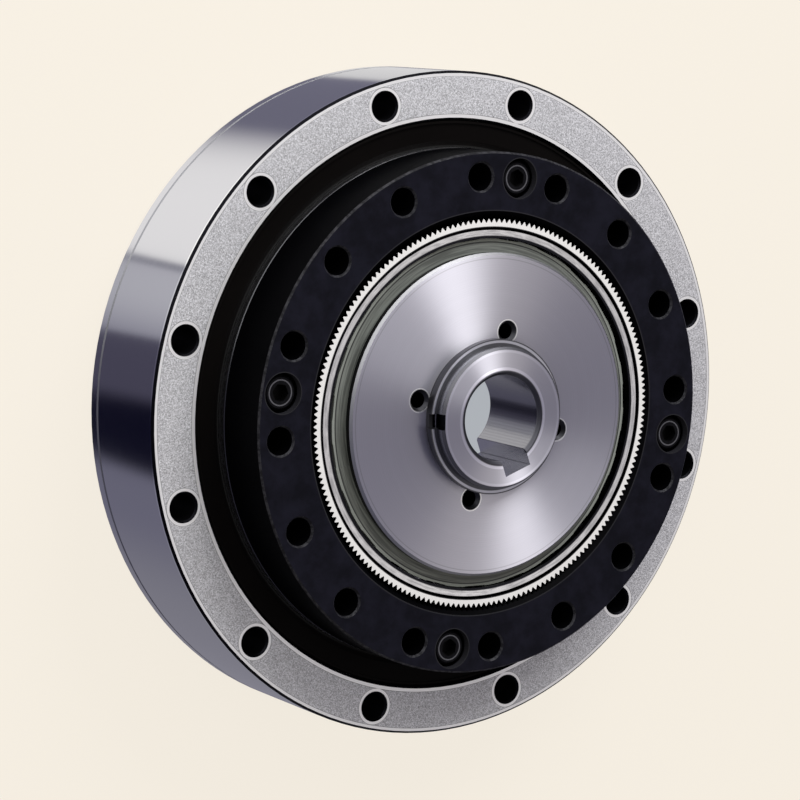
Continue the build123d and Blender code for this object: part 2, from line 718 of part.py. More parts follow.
# Input hub, with the coupling flange behind the plug
keyway_reach = input_bore / 2 + keyway_depth
snap_ring_rear = disc_front + washer_thickness + seat_clearance
snap_ring_groove_front = snap_ring_rear + snap_ring_thickness + 2 * seat_clearance
with BuildPart() as input_hub:
    with BuildSketch(Plane.XZ):
        with BuildLine():
            Polyline(
                (input_bore / 2, hub_front),
                (hub_radius, hub_front),
                (hub_radius, snap_ring_groove_front),
                (hub_radius - snap_ring_groove, snap_ring_groove_front),
                (hub_radius - snap_ring_groove, snap_ring_rear),
                (hub_radius, snap_ring_rear),
                (hub_radius, hub_flange_front),
                (hub_flange_radius, hub_flange_front),
                (hub_flange_radius, coupling_rear),
                (input_bore / 2, coupling_rear),
                close=True,
            )
        make_face()
    revolve(axis=Axis.Z)
    chamfer(circles_at(input_hub, input_bore / 2), input_bore_chamfer)
    chamfer(circles_at(input_hub, hub_radius)[-1], hub_edge_break)
    chamfer(circles_at(input_hub, hub_flange_radius)[0], hole_edge_break)
    with BuildSketch(Plane.XY.offset(hub_flange_front)):
        Circle(hub_flange_radius)
        Circle(insert_bore_radius, mode=Mode.SUBTRACT)
        with PolarLocations(0, 2, start_angle=major_axis_angle + 90):
            Rectangle(2 * hub_flange_radius, lug_width, mode=Mode.INTERSECT)
    extrude(amount=lug_height)
    with BuildSketch(Plane.XY.offset(coupling_rear)):
        with PolarLocations(keyway_reach / 2, 1, start_angle=keyway_angle):
            Rectangle(keyway_reach, keyway_width)
    extrude(amount=hub_front - coupling_rear, mode=Mode.SUBTRACT)
    with BuildSketch(Plane.XY.offset(disc_front)):
        with PolarLocations(hub_radius, 1, start_angle=major_axis_angle):
            Rectangle(2 * hub_slot_depth, hub_slot_width)
    extrude(amount=hub_stand_off, mode=Mode.SUBTRACT)
input_hub.part.label = "input_hub"
export_step(input_hub.part, "parts/input_hub.step")

# Floating insert of the coupling, with tabs in the plug and slots for the hub's lugs
with BuildPart() as coupling_insert:
    with BuildSketch(Plane.XY.offset(insert_rear)):
        Circle(insert_radius)
        with PolarLocations(tab_reach / 2, 2, start_angle=major_axis_angle):
            Rectangle(tab_reach, lug_width)
        Circle(insert_bore_radius, mode=Mode.SUBTRACT)
    extrude(amount=insert_thickness)
    with BuildSketch(Plane.XY.offset(insert_rear)):
        with Locations(Location((0, 0, 0), (0, 0, major_axis_angle + 90))):
            Rectangle(2 * insert_radius, lug_width + coupling_clearance)
    extrude(amount=lug_height, mode=Mode.SUBTRACT)
coupling_insert.part.label = "coupling_insert"
export_step(coupling_insert.part, "parts/coupling_insert.step")

# Rub washer between the disc and the snap ring
with BuildPart() as rub_washer:
    with BuildSketch(Plane.XY.offset(disc_front)):
        Circle(hub_radius + washer_overhang)
        Circle(hub_radius + running_clearance, mode=Mode.SUBTRACT)
    extrude(amount=washer_thickness)
rub_washer.part.label = "rub_washer"
export_step(rub_washer.part, "parts/rub_washer.step")

# Snap ring in the hub's groove, with its gap over the hub's slot
with BuildPart() as hub_snap_ring:
    with BuildSketch(Plane.XY.offset(snap_ring_rear + seat_clearance)):
        Circle(hub_radius + snap_ring_overhang)
        Circle(hub_radius - snap_ring_groove + seat_clearance, mode=Mode.SUBTRACT)
        with PolarLocations(hub_radius, 1, start_angle=major_axis_angle):
            Rectangle(2 * (snap_ring_overhang + snap_ring_groove), snap_ring_gap, mode=Mode.SUBTRACT)
    extrude(amount=snap_ring_thickness)
hub_snap_ring.part.label = "hub_snap_ring"
export_step(hub_snap_ring.part, "parts/hub_snap_ring.step")

print("unit", 2 * unit_radius, "bolt circles", 2 * housing_bolt_radius, 2 * output_bolt_radius)
print("heights", ring_front, spline_rear, spline_front, disc_front, hub_front)
print("wave bearing radii", outer_race_radius, ball_circle_radius, inner_race_radius, plug_seat_radius)
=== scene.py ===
"""Finishes and studio for a strain wave gear unit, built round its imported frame."""

import json
import math
from functools import cached_property

import bmesh
import bpy
from bpy.props import FloatProperty, FloatVectorProperty, PointerProperty
from mathutils import Matrix, Vector


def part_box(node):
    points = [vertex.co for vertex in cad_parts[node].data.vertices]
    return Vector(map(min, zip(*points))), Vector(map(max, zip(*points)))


bl_info = {
    "name": "Strain wave gear finishes",
    "version": (1, 0, 0),
    "blender": (4, 5, 0),
    "location": "3D View > Sidebar > Gear unit",
    "description": "Gives each piece of a strain wave gear unit its finish and sets up the studio",
    "category": "Object",
}

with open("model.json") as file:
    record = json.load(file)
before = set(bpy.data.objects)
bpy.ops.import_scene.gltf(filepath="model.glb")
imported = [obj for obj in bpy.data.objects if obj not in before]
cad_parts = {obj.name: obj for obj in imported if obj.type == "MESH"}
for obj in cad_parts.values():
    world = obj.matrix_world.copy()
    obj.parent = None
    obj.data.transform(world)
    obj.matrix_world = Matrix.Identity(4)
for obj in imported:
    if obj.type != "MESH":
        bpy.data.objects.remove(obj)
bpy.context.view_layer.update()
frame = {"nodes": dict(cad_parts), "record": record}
nodes = frame["nodes"]

MM = 0.001


def mount_sizes(name):
    """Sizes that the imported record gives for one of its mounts."""
    return next(mount["dims"] for mount in frame["record"]["mounts"] if mount["name"] == name)


# Places that the finishes follow, read from the frame
snap_ring_overhang = 1.1 * MM
unit_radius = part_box("outer_bearing_ring")[1].x
ring_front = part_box("outer_bearing_ring")[1].z
spline_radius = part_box("circular_spline")[1].x
spline_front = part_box("circular_spline")[1].z
rim_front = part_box("flexspline")[1].z
seal_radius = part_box("front_seal")[1].x
disc_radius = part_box("wave_generator_plug")[1].x
hub_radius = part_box("hub_snap_ring")[1].x - snap_ring_overhang
housing_bolts = mount_sizes("housing_bolts")
housing_bolt_circle = housing_bolts["pcd_mm"] / 2 * MM
housing_bolt_radius = housing_bolts["hole_r_mm"] * MM
output_bolt_circle = mount_sizes("output_bolts")["pcd_mm"] / 2 * MM
disc_holes = mount_sizes("disc_tapped_holes")
disc_hole_circle = disc_holes["pcd_mm"] / 2 * MM

# First hole of each bolt circle in degrees, and the count of the small screws
housing_bolt_angle = 0.0
spline_screw_angle = 66.63
spline_screw_count = 4
disc_hole_angle = 61.75

# The oval of the wave bearing and of the toothed rim, and their mean radii
major_axis = math.radians(165.15)
wave_height = 0.3175 * MM
race_bore = 28.9 * MM
race_outside = 30.62 * MM
rim_bore = 30.67 * MM
tooth_root = 31.4 * MM

# How far up a face looks: 0 on an upright wall, 1 on a level face, and a slope is between
upward = (0.0, 0.0, 1.0)
wall_limits = (0.25, 0.3)
level_limits = (0.9, 0.97)
slope_band = (0.3, 0.93, 0.03)

# Limits between which a noise goes from none to full
full_contrast = (0.3, 0.7)


def tinted(colour, share):
    """A colour made darker or lighter by a share."""
    return tuple(min(1.0, channel * share) for channel in colour)


class Graph:
    """A node tree, with short calls for the nodes that the finishes and the studio use."""

    def __init__(self, tree):
        self.tree = tree

    def node(self, kind, **inputs):
        made = self.tree.nodes.new(kind)
        for name, value in inputs.items():
            self.feed(made.inputs[name.replace("_", " ")], value)
        return made

    def output(self, kind, **inputs):
        """First output of a new node."""
        return self.node(kind, **inputs).outputs[0]

    def feed(self, socket, value):
        if isinstance(value, bpy.types.NodeSocket):
            self.tree.links.new(value, socket)
        else:
            socket.default_value = value

    def feed_in_order(self, made, values):
        for socket, value in zip(made.inputs, values):
            self.feed(socket, value)
        return made.outputs

    def math(self, operation, *values):
        made = self.node("ShaderNodeMath")
        made.operation = operation
        return self.feed_in_order(made, values)[0]

    def vector_math(self, operation, *values):
        made = self.node("ShaderNodeVectorMath")
        made.operation = operation
        gives_number = operation in ("DOT_PRODUCT", "LENGTH")
        return self.feed_in_order(made, values)["Value" if gives_number else "Vector"]

    def mix_shaders(self, share, first, second):
        return self.feed_in_order(self.node("ShaderNodeMixShader"), (share, first, second))[0]

    def colour(self, value):
        """A colour's socket as it is, and a plain colour with its fourth channel."""
        return value if isinstance(value, bpy.types.NodeSocket) else (*value, 1.0)

    def mix(self, factor, first, second):
        """Blend of two colours."""
        made = self.node("ShaderNodeMix")
        made.data_type = "RGBA"
        self.feed(made.inputs["Factor"], factor)
        self.feed(made.inputs[6], self.colour(first))
        self.feed(made.inputs[7], self.colour(second))
        return made.outputs[2]

    def blend(self, factor, first, second):
        """Blend of two numbers."""
        made = self.node("ShaderNodeMix", Factor=factor)
        self.feed(made.inputs[2], first)
        self.feed(made.inputs[3], second)
        return made.outputs[0]

    def step(self, value, low, high, way="SMOOTHSTEP"):
        """0 below low and 1 above high, smooth between."""
        made = self.node("ShaderNodeMapRange", Value=value, From_Min=low, From_Max=high)
        made.interpolation_type = way
        return made.outputs[0]

    def below(self, value, low, high):
        """1 below low and 0 above high, smooth between."""
        return self.opposite(self.step(value, low, high))

    def band(self, value, low, high, soft):
        """1 between low and high, 0 outside."""
        return self.both(
            self.step(value, low - soft, low + soft), self.below(value, high - soft, high + soft)
        )

    def scaled(self, value, low, high):
        """A value from 0 to 1 brought to run from low to high."""
        return self.output("ShaderNodeMapRange", Value=value, To_Min=low, To_Max=high)

    def opposite(self, value):
        return self.math("SUBTRACT", 1.0, value)

    def both(self, *values):
        """Product of masks."""
        result = values[0]
        for value in values[1:]:
            result = self.math("MULTIPLY", result, value)
        return result


class Shader(Graph):
    """A new material's nodes, with the masks and marks that the finishes share."""

    def __init__(self, name):
        self.material = bpy.data.materials.new(name)
        self.material.use_nodes = True
        super().__init__(self.material.node_tree)
        self.surface = self.tree.nodes["Principled BSDF"]
        self.place = self.node("ShaderNodeTexCoord").outputs["Object"]
        self.x, self.y, self.z = self.node("ShaderNodeSeparateXYZ", Vector=self.place).outputs

    @cached_property
    def radius(self):
        """Distance from the unit's axis."""
        squares = [self.math("POWER", side, 2) for side in (self.x, self.y)]
        return self.math("SQRT", self.math("ADD", *squares))

    @cached_property
    def angle(self):
        return self.math("ARCTAN2", self.y, self.x)

    @cached_property
    def from_major_axis(self):
        return self.math("SUBTRACT", self.angle, major_axis)

    @cached_property
    def round_radius(self):
        """Radius with the wave's oval taken out, so that it follows the bent rim and races."""
        swing = self.math("COSINE", self.math("MULTIPLY", self.from_major_axis, 2.0))
        return self.math("SUBTRACT", self.radius, self.math("MULTIPLY", swing, wave_height))

    @cached_property
    def up(self):
        """How far up the face looks."""
        normal = self.node("ShaderNodeNewGeometry").outputs["True Normal"]
        return self.vector_math("DOT_PRODUCT", normal, upward)

    @cached_property
    def level(self):
        """1 on level faces that look up."""
        return self.step(self.up, *level_limits)

    @cached_property
    def sloped(self):
        """1 on faces between level and upright, such as chamfers and countersinks."""
        return self.band(self.up, *slope_band)

    def turned_place(self, stretch):
        """Coordinates that run with the turning marks: radius, height and a share of the angle."""
        turn = self.math("MULTIPLY", self.angle, stretch)
        return self.output("ShaderNodeCombineXYZ", X=self.radius, Y=self.z, Z=turn)

    def across_marks(self):
        """Direction across the turning marks, away from the axis, along which they spread light."""
        return self.vector_math("MULTIPLY", (1.0, 1.0, 0.0), self.place)

    def distance_to_holes(self, circle, count, first_angle):
        """Distance from the nearest hole centre of a bolt circle."""
        pitch = 2 * math.pi / count
        turned = self.math("SUBTRACT", self.angle, math.radians(first_angle) - pitch / 2)
        local = self.math("SUBTRACT", self.math("FLOORED_MODULO", turned, pitch), pitch / 2)
        outward = self.math("MULTIPLY", self.radius, self.math("COSINE", local))
        along = self.math("SUBTRACT", outward, circle)
        across = self.math("MULTIPLY", self.radius, self.math("SINE", local))
        squares = [self.math("POWER", side, 2) for side in (along, across)]
        return self.math("SQRT", self.math("ADD", *squares))

    def noise(self, place, scale, detail=2.0, roughness=0.5, one_way=False):
        made = self.node("ShaderNodeTexNoise", Scale=scale, Detail=detail, Roughness=roughness)
        if one_way:
            made.noise_dimensions = "1D"
        self.feed(made.inputs["W" if one_way else "Vector"], place)
        return made.outputs["Fac"]

    def bump(self, height, depth, strength, under=None):
        made = self.node("ShaderNodeBump", Height=height, Distance=depth, Strength=strength)
        if under is not None:
            self.feed(made.inputs["Normal"], under)
        return made.outputs[0]

    def finish(self, Base_Color, **inputs):
        """The material, with what its surface takes."""
        self.feed(self.surface.inputs["Base Color"], self.colour(Base_Color))
        for name, value in inputs.items():
            self.feed(self.surface.inputs[name.replace("_", " ")], value)
        return self.material


def give(node, material):
    """Puts one finish on a CAD node, and shades its curved faces smooth."""
    mesh = nodes[node].data
    mesh.materials.clear()
    mesh.materials.append(material)
    mesh.polygons.foreach_set("use_smooth", [True] * len(mesh.polygons))


# Sizes and colours that a user would change

def colour_property(name, value, description):
    return FloatVectorProperty(
        name=name,
        description=description,
        subtype="COLOR",
        size=3,
        min=0.0,
        max=1.0,
        default=value,
    )


def length_property(name, value, description):
    return FloatProperty(
        name=name, description=description, subtype="DISTANCE", unit="LENGTH", default=value
    )


class RingLook(bpy.types.PropertyGroup):
    """Finish of the outer bearing ring"""

    blasted: colour_property(
        "Blasted face", (0.735, 0.735, 0.76), "Colour of the blasted front face"
    )
    polished: colour_property(
        "Polished side", (0.66, 0.66, 0.68), "Colour of the ground and polished side"
    )
    # Painted shade: near black on the walls of the drilled holes, standing for the shade inside
    # them
    shaded_bores: colour_property(
        "Bores", (0.012, 0.012, 0.014), "Colour of the shaded walls of the drilled holes"
    )
    rim_width: length_property(
        "Rim width", 0.5 * MM, "Width of the bright rim round the blasted face"
    )
    grain: length_property("Grain", 0.17 * MM, "Size of the blasting grain")


class SteelLook(bpy.types.PropertyGroup):
    """Finishes of the turned and ground steel pieces"""

    disc: colour_property("Disc", (0.64, 0.63, 0.685), "Colour of the turned disc")
    hub: colour_property("Hub", (0.64, 0.63, 0.685), "Colour of the input hub")
    race: colour_property("Races", (0.86, 0.86, 0.86), "Colour of the wave bearing's races")
    teeth: colour_property("Teeth", (0.96, 0.96, 0.955), "Colour of the flexspline's toothed rim")
    mark_spacing: length_property("Turning marks", 0.09 * MM, "Spacing of the turning marks")


class DarkLook(bpy.types.PropertyGroup):
    """Finishes of the black, rubber and plastic pieces"""

    spline: colour_property(
        "Circular spline", (0.0036, 0.0036, 0.0066), "Colour of the black oxide"
    )
    screws: colour_property("Screws", (0.003, 0.003, 0.004), "Colour of the black screws")
    seal: colour_property("Seal", (0.0026, 0.0021, 0.0020), "Colour of the lip seal's rubber")
    retainer: colour_property("Retainer", (0.165, 0.178, 0.165), "Colour of the ball retainer")


class StudioLook(bpy.types.PropertyGroup):
    """Floor, room light and camera"""

    floor: colour_property(
        "Floor", (0.922, 0.863, 0.768), "Colour of the floor and the background"
    )
    room_light: FloatProperty(
        name="Room light", description="Strength of the soft light all round", default=0.45
    )
    lens: FloatProperty(
        name="Lens", description="Focal length of the camera", unit="CAMERA", default=138.377
    )


class GearStep:
    """What every operator of this panel shares"""

    bl_options = {"REGISTER", "UNDO"}


# Camera: its place, the directions that it holds to its right and ahead, and its sensor
camera_place = Vector((-0.25067, 0.13889, 0.43946))
camera_right = Vector((0.81864, -0.20032, 0.53821)).normalized()
camera_ahead = Vector((0.48227, -0.26902, -0.83367)).normalized()
camera_near_end = 0.01
sensor_width = 36.0

# Floor: how much of what the camera sees is its own tone, and the patch of painted shade below the
# bore
floor_radius = 3.0
floor_corners = 96
floor_tone_share = 0.92
bore_shade_colour = (0.45, 0.475, 0.51)
bore_shade_edge = (30 * MM, 50 * MM)

# What the metal reflects where no board stands
room_tint = (0.182, 0.177, 0.24)

# Azimuth, elevation, radius and soft edge in degrees, and colour of each board that is reflected
reflected_boards = (
    (140, -56, 12, 6, (0.34, 0.335, 0.40)),
    (131, -56, 0.5, 12, (0.60, 0.595, 0.64)),
    (107, -56, 10.2, 0.8, (0.24, 0.24, 0.29)),
    (91, -56, 1, 17.5, (1.05, 1.03, 1.02)),
    (107, -56, 8.9, 0.8, (1.05, 1.03, 1.02)),
    (174, -56, 12.4, 1.3, (0.08, 0.075, 0.115)),
    (187, -56, 7, 3, (0.004, 0.004, 0.014)),
    (279, -56, 8, 24, (0.25, 0.245, 0.29)),
    (3, -56, 6, 3, (0.75, 0.74, 0.74)),
    (125, 30, 20, 20, (0.25, 0.25, 0.27)),
    (15, -24, 11, 7, (0.92, 0.90, 0.88)),
    (75, -24, 6, 10, (0.60, 0.58, 0.58)),
    (160, -22, 12, 7, (0.95, 0.93, 0.92)),
    (212, -24, 6, 8, (0.05, 0.05, 0.08)),
    (254, -24, 10, 8, (0.85, 0.83, 0.82)),
    (312, -24, 7, 10, (0.05, 0.05, 0.08)),
)

# Long board overhead: the axis that it is square to, half its width, its soft edges and colour
strip_axis = (0.843, -0.118, -0.525)
strip_half_width = 0.01
strip_softness = 0.27
strip_low_end = (0.0, 0.25)
strip_colour = (0.96, 0.92, 0.90)

# Name, place, diameter and power of each lamp
lamps = (
    ("key_softbox", (0.26, 0.43, 0.36), 0.38, 3.1),
    ("side_softbox", (-0.16, 0.32, 0.24), 0.42, 0.8),
)


class GEAR_OT_studio(GearStep, bpy.types.Operator):
    """Make the floor, the room light, the lamps and the camera"""

    bl_idname = "gear.studio"
    bl_label = "Studio"

    def execute(self, context):
        look = context.scene.gear_studio
        self.make_camera(context, look)
        self.make_floor(context, look)
        self.make_room(context, look)
        self.make_lamps(context)
        context.scene.view_settings.view_transform = "Standard"
        return {"FINISHED"}

    def make_camera(self, context, look):
        data = bpy.data.cameras.new("camera")
        data.lens = look.lens
        data.sensor_width = sensor_width
        data.clip_start = camera_near_end
        camera = bpy.data.objects.new("camera", data)
        camera_up = camera_right.cross(camera_ahead).normalized()
        turn = Matrix((camera_right, camera_up, -camera_ahead)).transposed().to_4x4()
        camera.matrix_world = Matrix.Translation(camera_place) @ turn
        context.scene.collection.objects.link(camera)
        context.scene.camera = camera

    def make_floor(self, context, look):
        mesh = bpy.data.meshes.new("floor")
        work = bmesh.new()
        bmesh.ops.create_circle(
            work, cap_ends=True, radius=floor_radius, segments=floor_corners
        )
        work.to_mesh(mesh)
        work.free()
        floor = bpy.data.objects.new("floor", mesh)
        context.scene.collection.objects.link(floor)
        material = bpy.data.materials.new("floor paper")
        material.use_nodes = True
        paper = Graph(material.node_tree)
        paper.tree.nodes.clear()
        path = paper.node("ShaderNodeLightPath").outputs
        place = paper.node("ShaderNodeTexCoord").outputs["Object"]
        # Painted shade: the floor's own glow is dimmed in a patch below the bore, standing for the
        # shade under the unit
        beside = paper.step(paper.vector_math("LENGTH", place), *bore_shade_edge, way="LINEAR")
        tone = paper.mix(beside, bore_shade_colour, look.floor)
        lit = paper.output("ShaderNodeBsdfDiffuse", Color=paper.colour(look.floor))
        glow = paper.output("ShaderNodeEmission", Color=tone)
        seen = paper.mix_shaders(floor_tone_share, lit, glow)
        by_camera = paper.mix_shaders(path["Is Camera Ray"], lit, seen)
        clear = paper.output("ShaderNodeBsdfTransparent")
        mirrored = paper.mix_shaders(path["Is Glossy Ray"], by_camera, clear)
        paper.node("ShaderNodeOutputMaterial", Surface=mirrored)
        mesh.materials.append(material)

    def make_room(self, context, look):
        """Light all round, and for reflections the white boards and dark cloths of a studio."""
        world = bpy.data.worlds.new("studio room")
        context.scene.world = world
        world.use_nodes = True
        world.cycles.sampling_method = "NONE"
        room = Graph(world.node_tree)
        room.tree.nodes.clear()
        direction = room.node("ShaderNodeTexCoord").outputs["Generated"]
        path = room.node("ShaderNodeLightPath").outputs

        def along(aim):
            """How far the direction points along an aim."""
            return room.vector_math("DOT_PRODUCT", direction, Vector(aim).normalized())

        def with_board(under, azimuth, elevation, edge, soft, colour):
            """A round board with a soft edge laid over what is under it."""
            turn, tilt = math.radians(azimuth), math.radians(elevation)
            flat = math.cos(tilt)
            aim = (flat * math.cos(turn), flat * math.sin(turn), math.sin(tilt))
            outside, inside = (math.cos(math.radians(reach)) for reach in (edge + soft, edge))
            return room.mix(room.step(along(aim), outside, inside), under, colour)

        reflected = room_tint
        for board in reflected_boards:
            reflected = with_board(reflected, *board)
        off_centre = room.math("ABSOLUTE", along(strip_axis))
        strip = room.both(
            room.step(off_centre, strip_half_width + strip_softness, strip_half_width),
            room.step(along(upward), *strip_low_end),
        )
        reflected = room.mix(strip, reflected, strip_colour)
        tone = room.colour(look.floor)
        plain = room.output("ShaderNodeBackground", Color=tone, Strength=look.room_light)
        backdrop = room.output("ShaderNodeBackground", Color=tone)
        mirrored = room.output("ShaderNodeBackground", Color=reflected)
        by_gloss = room.mix_shaders(path["Is Glossy Ray"], plain, mirrored)
        by_camera = room.mix_shaders(path["Is Camera Ray"], by_gloss, backdrop)
        room.node("ShaderNodeOutputWorld", Surface=by_camera)

    def make_lamps(self, context):
        for name, place, size, power in lamps:
            data = bpy.data.lights.new(name, "AREA")
            data.shape = "DISK"
            data.size = size
            data.energy = power
            lamp = bpy.data.objects.new(name, data)
            lamp.location = place
            lamp.rotation_euler = (-Vector(place)).to_track_quat("-Z", "Y").to_euler()
            context.scene.collection.objects.link(lamp)


# Outer ring: lands left beside the blasted face, and where its face, side and holes begin; a
# painted highlight on the side, and painted shade on the chamfers and hole walls
inner_land = 0.5 * MM
outer_land = 0.4 * MM
hole_land = 0.3 * MM
blast_softness = 0.06 * MM
ring_face = (ring_front - 0.2 * MM, ring_front - 0.1 * MM)
unit_side = (unit_radius - 0.05 * MM, unit_radius - 0.02 * MM)
# Painted highlight: a bright band on the side just under the front edge
side_highlight_band = (ring_front - 0.75 * MM, ring_front - 0.42 * MM, 0.08 * MM)
hole_wall = (housing_bolt_radius + 0.05 * MM, housing_bolt_radius + 0.15 * MM)
hole_mouth = (ring_front - 0.4 * MM, ring_front - 0.25 * MM)
speckle_contrast = (0.34, 0.66)
pit_contrast = (0.26, 0.38)
dark_speck = 0.46
light_speck = 1.24
outline_strength = 3.6
pit_colour = (0.16, 0.16, 0.18)
rim_colour = (0.92, 0.92, 0.93)
outline_colour = (0.14, 0.14, 0.15)
side_highlight_colour = (0.95, 0.95, 0.95)
# Painted shade: the ring's chamfers and countersinks are made near black
ring_edge_shade_colour = (0.008, 0.008, 0.01)


class GEAR_OT_outer_ring(GearStep, bpy.types.Operator):
    """Blast the outer ring's face, polish its side and finish its loading plug"""

    bl_idname = "gear.outer_ring"
    bl_label = "Outer bearing ring"

    def execute(self, context):
        look = context.scene.gear_ring
        shader = Shader("blasted and polished ring steel")
        to_hole = shader.distance_to_holes(
            housing_bolt_circle, housing_bolts["count"], housing_bolt_angle
        )
        hole_rim = housing_bolt_radius + hole_land + look.rim_width
        front = shader.both(shader.level, shader.step(shader.z, *ring_face))
        blasted = shader.both(
            shader.band(
                shader.radius,
                seal_radius + inner_land + look.rim_width,
                unit_radius - outer_land - look.rim_width,
                blast_softness,
            ),
            shader.step(to_hole, hole_rim - blast_softness, hole_rim + blast_softness),
            front,
        )
        # Painted shade on the walls of the drilled holes, which are also rougher
        drilled = shader.both(
            shader.below(to_hole, *hole_wall), shader.below(shader.z, *hole_mouth)
        )
        # Painted highlight along the top of the side
        side_highlight = shader.both(
            shader.step(shader.radius, *unit_side), shader.band(shader.z, *side_highlight_band)
        )
        outline = shader.both(blasted, shader.opposite(blasted), outline_strength)
        grain = shader.noise(shader.place, scale=1 / look.grain, detail=4.0, roughness=0.7)
        pits = shader.noise(shader.place, scale=0.6 / look.grain, roughness=0.6)
        grind = shader.noise(shader.turned_place(stretch=0.002), scale=9000.0)
        speckled = shader.mix(
            shader.step(grain, *speckle_contrast),
            tinted(look.blasted, dark_speck),
            tinted(look.blasted, light_speck),
        )
        pitted = shader.mix(shader.below(pits, *pit_contrast), speckled, pit_colour)
        tint = shader.mix(blasted, shader.mix(front, look.polished, rim_colour), pitted)
        # Over the face: the outline, the painted highlight on the side, painted shade on the
        # chamfers and countersinks, and painted shade on the hole walls
        for mask, colour in (
            (outline, outline_colour),
            (side_highlight, side_highlight_colour),
            (shader.sloped, ring_edge_shade_colour),
            (drilled, look.shaded_bores),
        ):
            tint = shader.mix(mask, tint, colour)
        plain = shader.math("MAXIMUM", front, shader.sloped)
        ground = shader.blend(plain, shader.scaled(grind, 0.06, 0.13), 0.42)
        pitted_face = shader.bump(shader.both(grain, blasted), depth=0.06 * MM, strength=0.7)
        material = shader.finish(
            Base_Color=tint,
            Metallic=shader.blend(front, 1.0, 0.65),
            Roughness=shader.blend(
                blasted, shader.blend(drilled, ground, 0.6), shader.scaled(grain, 0.5, 0.75)
            ),
            Normal=shader.bump(grind, depth=0.001 * MM, strength=0.3, under=pitted_face),
        )
        for node in ("outer_bearing_ring", "roller_loading_plug"):
            give(node, material)
        return {"FINISHED"}


# Circular spline: what lies outside its teeth and near its front, its two painted highlights at the
# mouth and the counterbores, the painted shade on its walls, and its wear
spline_face = (spline_front - 1.4 * MM, spline_front - 1.2 * MM)
outside_teeth = (34.0 * MM, 34.2 * MM)
# Painted highlights: lighter oxide on the mouth's edge and round each counterbore
mouth_highlight = (32.98 * MM, 33.16 * MM, 0.05 * MM)
counterbore_highlight = (3.22 * MM, 3.38 * MM, 0.04 * MM)
wear_contrast = (0.40, 0.62)
cloud_share = 2.2
# Painted shade: the oxide on walls and teeth, darker than on level faces
wall_shade_oxide_colour = (0.0010, 0.0010, 0.0014)
oxide_highlight_colour = (0.02, 0.02, 0.024)
worn_oxide_colour = (0.026, 0.026, 0.032)


class GEAR_OT_circular_spline(GearStep, bpy.types.Operator):
    """Blacken the circular spline and let its edges show wear"""

    bl_idname = "gear.circular_spline"
    bl_label = "Circular spline"

    def execute(self, context):
        look = context.scene.gear_dark
        shader = Shader("black oxide")
        cloud = shader.noise(shader.place, scale=260.0, detail=5.0, roughness=0.65)
        grain = shader.noise(shader.place, scale=5200.0)
        spots = shader.noise(shader.place, scale=1100.0, detail=4.0, roughness=0.7)
        front = shader.step(shader.z, *spline_face)
        worn = shader.both(
            shader.sloped,
            front,
            shader.step(shader.radius, *outside_teeth),
            shader.scaled(shader.step(spots, *wear_contrast), 0.35, 1.0),
        )
        to_screw = shader.distance_to_holes(
            output_bolt_circle, spline_screw_count, spline_screw_angle
        )
        # Painted highlights round the mouth and the counterbores
        edge_highlights = shader.math(
            "MAXIMUM",
            shader.both(shader.band(shader.radius, *mouth_highlight), front),
            shader.both(shader.band(to_screw, *counterbore_highlight), front),
        )
        clouded = shader.mix(
            shader.step(cloud, *full_contrast), look.spline, tinted(look.spline, cloud_share)
        )
        # Painted shade: faces that are not level get the darker oxide
        tint = shader.mix(shader.level, wall_shade_oxide_colour, clouded)
        tint = shader.mix(edge_highlights, tint, oxide_highlight_colour)
        give("circular_spline", shader.finish(
            Base_Color=shader.mix(worn, tint, worn_oxide_colour),
            Metallic=0.0,
            Roughness=shader.scaled(grain, 0.42, 0.6),
            Specular_IOR_Level=shader.blend(worn, shader.scaled(shader.level, 0.02, 0.07), 0.2),
            Normal=shader.bump(grain, depth=0.006 * MM, strength=0.5),
        ))
        return {"FINISHED"}


# Screws: the painted highlight ring on each head in front, drawn as bare metal, and the painted
# shade in its socket
head_highlight_ring = (1.92 * MM, 2.1 * MM, 0.06 * MM)
socket_edge = (1.3 * MM, 1.5 * MM)
screw_spot_share = 1.8
head_highlight_colour = (0.20, 0.20, 0.22)
socket_shade_colour = (0.002, 0.002, 0.002)


class GEAR_OT_screws(GearStep, bpy.types.Operator):
    """Finish the black socket head and countersunk screws"""

    bl_idname = "gear.screws"
    bl_label = "Screws"

    def execute(self, context):
        look = context.scene.gear_dark
        for name, node in (
            ("black screw steel", "circular_spline_screws"),
            ("black countersunk screw steel", "flange_screws"),
        ):
            shader = Shader(name)
            spots = shader.noise(shader.place, scale=1500.0, detail=3.0)
            spotted = tinted(look.screws, screw_spot_share)
            tint = shader.mix(shader.step(spots, *full_contrast), look.screws, spotted)
            head_highlight = 0.0
            if node == "circular_spline_screws":
                to_axis = shader.distance_to_holes(
                    output_bolt_circle, spline_screw_count, spline_screw_angle
                )
                # Painted highlight: a bright metal ring on each head's rounded edge
                head_highlight = shader.both(
                    shader.band(to_axis, *head_highlight_ring),
                    shader.level,
                    shader.scaled(spots, 0.55, 1.1),
                )
                tint = shader.mix(head_highlight, tint, head_highlight_colour)
                # Painted shade in the socket
                tint = shader.mix(shader.below(to_axis, *socket_edge), tint, socket_shade_colour)
            give(node, shader.finish(
                Base_Color=tint,
                Metallic=head_highlight,
                Roughness=shader.scaled(spots, 0.35, 0.5),
                Specular_IOR_Level=0.05,
            ))
        return {"FINISHED"}


# Seals: the painted highlight on the lip that runs on the circular spline, and the dust on the
# rubber
seal_lip_highlight_reach = (spline_radius + 0.2 * MM, spline_radius + 0.45 * MM)
dust_share = 1.7
lip_highlight_colour = (0.02, 0.02, 0.02)
ring_seal_colour = (0.01, 0.01, 0.01)


